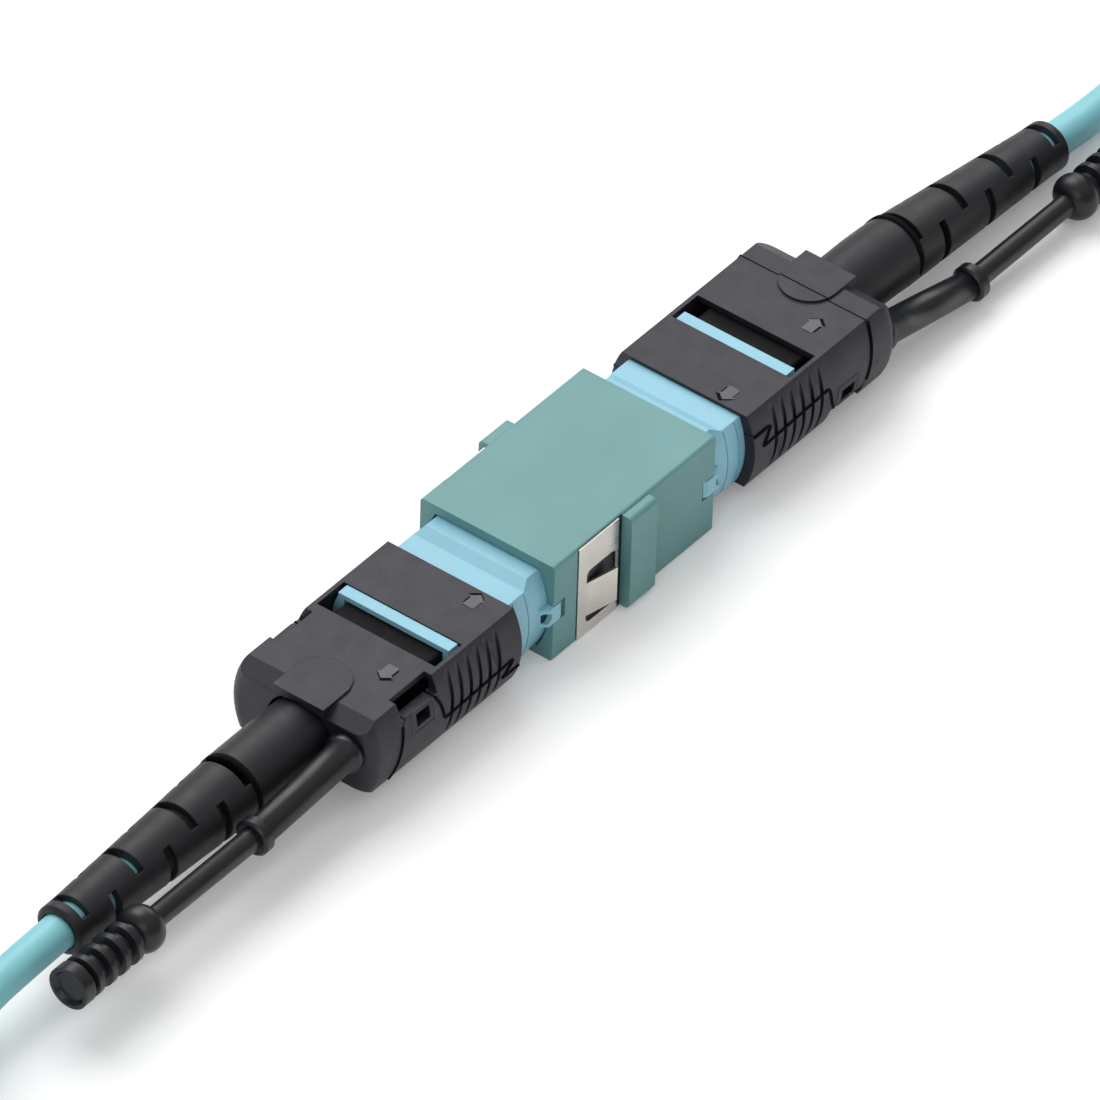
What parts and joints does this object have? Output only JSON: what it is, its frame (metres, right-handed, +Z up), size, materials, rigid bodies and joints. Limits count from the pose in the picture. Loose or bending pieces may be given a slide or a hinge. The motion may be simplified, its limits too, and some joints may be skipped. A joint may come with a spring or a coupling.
{
  "type": "multi-fibre coupler with two mated push-pull plugs",
  "caption": "Panel coupler for multi-fibre connectors, with a latched push-pull plug mated in each port, pull rods, slotted boots and folded cables.",
  "frame": {"origin": "middle of the coupler's underside, below the mating plane", "axes": "+Z up, +Y along the chain towards plug b, +X towards the side with both pull rods"},
  "size_m": [0.026, 0.2957, 0.0167],
  "materials": {
    "coupler_plastic": "moulded, fine grain",
    "insert_plastic": "moulded",
    "clip_steel": "satin rolled strip",
    "pin_steel": "ground",
    "spring_steel": "drawn wire",
    "crimp_brass": "satin",
    "black_plastic": "moulded, fine grain",
    "ferrule_plastic": "glass filled, polished end",
    "aqua_plastic": "satin",
    "boot_rubber": "soft matt",
    "cable_jacket": "extruded, satin",
    "tie_fabric": "woven hook and loop"
  },
  "bodies": {
    "coupler": {"housing_front": "coupler_plastic", "housing_rear": "coupler_plastic", "latch_insert_front": "insert_plastic", "latch_insert_rear": "insert_plastic", "panel_clip": "clip_steel"},
    "plug_a": {"inner_housing_a": "black_plastic", "spring_push_a": "black_plastic", "crimp_sleeve_a": "crimp_brass", "boot_a": "boot_rubber", "cable_core_a": "cable_jacket", "ferrule_spring_a": "spring_steel", "sleeve_springs_a": "spring_steel", "cable_lead_a": "cable_jacket", "cable_hank_a": "cable_jacket", "cable_tail_a": "cable_jacket", "cable_tie_a": "tie_fabric", "far_housing_a": "black_plastic", "far_ferrule_a": "ferrule_plastic", "far_sleeve_a": "aqua_plastic", "far_cover_a": "black_plastic", "far_base_a": "black_plastic", "far_rod_a": "black_plastic", "far_boot_a": "boot_rubber"},
    "sleeve_a": {"outer_sleeve_a": "aqua_plastic", "shell_cover_a": "black_plastic", "shell_base_a": "black_plastic", "pull_rod_a": "black_plastic"},
    "ferrule_set_a": {"ferrule_a": "ferrule_plastic", "guide_pins_a": "pin_steel", "pin_clamp_a": "black_plastic"},
    "plug_b": {"inner_housing_b": "black_plastic", "spring_push_b": "black_plastic", "crimp_sleeve_b": "crimp_brass", "boot_b": "boot_rubber", "cable_core_b": "cable_jacket", "ferrule_spring_b": "spring_steel", "sleeve_springs_b": "spring_steel", "cable_lead_b": "cable_jacket", "cable_hank_b": "cable_jacket", "cable_tail_b": "cable_jacket", "cable_tie_b": "tie_fabric", "far_housing_b": "black_plastic", "far_ferrule_b": "ferrule_plastic", "far_sleeve_b": "aqua_plastic", "far_cover_b": "black_plastic", "far_base_b": "black_plastic", "far_rod_b": "black_plastic", "far_boot_b": "boot_rubber"},
    "sleeve_b": {"outer_sleeve_b": "aqua_plastic", "shell_cover_b": "black_plastic", "shell_base_b": "black_plastic", "pull_rod_b": "black_plastic"},
    "ferrule_set_b": {"ferrule_b": "ferrule_plastic"}
  },
  "joints": [
    {"name": "plug_a_withdraw", "type": "slide", "parent": "coupler", "child": "plug_a", "axis": [0, -1, 0], "range_m": [0, 0.024], "deforming": ["latch_insert_front"]},
    {"name": "sleeve_a_release", "type": "slide", "parent": "plug_a", "child": "sleeve_a", "axis": [0, -1, 0], "range_m": [0, 0.0018], "stiffness_N_per_m": 1500, "deforming": ["sleeve_springs_a"]},
    {"name": "ferrule_a_float", "type": "slide", "parent": "plug_a", "child": "ferrule_set_a", "axis": [0, -1, 0], "range_m": [0, 0.0005], "stiffness_N_per_m": 4000, "deforming": ["ferrule_spring_a"]},
    {"name": "plug_b_withdraw", "type": "slide", "parent": "coupler", "child": "plug_b", "axis": [0, 1, 0], "range_m": [0, 0.024], "deforming": ["latch_insert_rear"]},
    {"name": "sleeve_b_release", "type": "slide", "parent": "plug_b", "child": "sleeve_b", "axis": [0, 1, 0], "range_m": [0, 0.0018], "stiffness_N_per_m": 1500, "deforming": ["sleeve_springs_b"]},
    {"name": "ferrule_b_float", "type": "slide", "parent": "plug_b", "child": "ferrule_set_b", "axis": [0, 1, 0], "range_m": [0, 0.0005], "stiffness_N_per_m": 4000, "deforming": ["ferrule_spring_b"]}
  ]
}
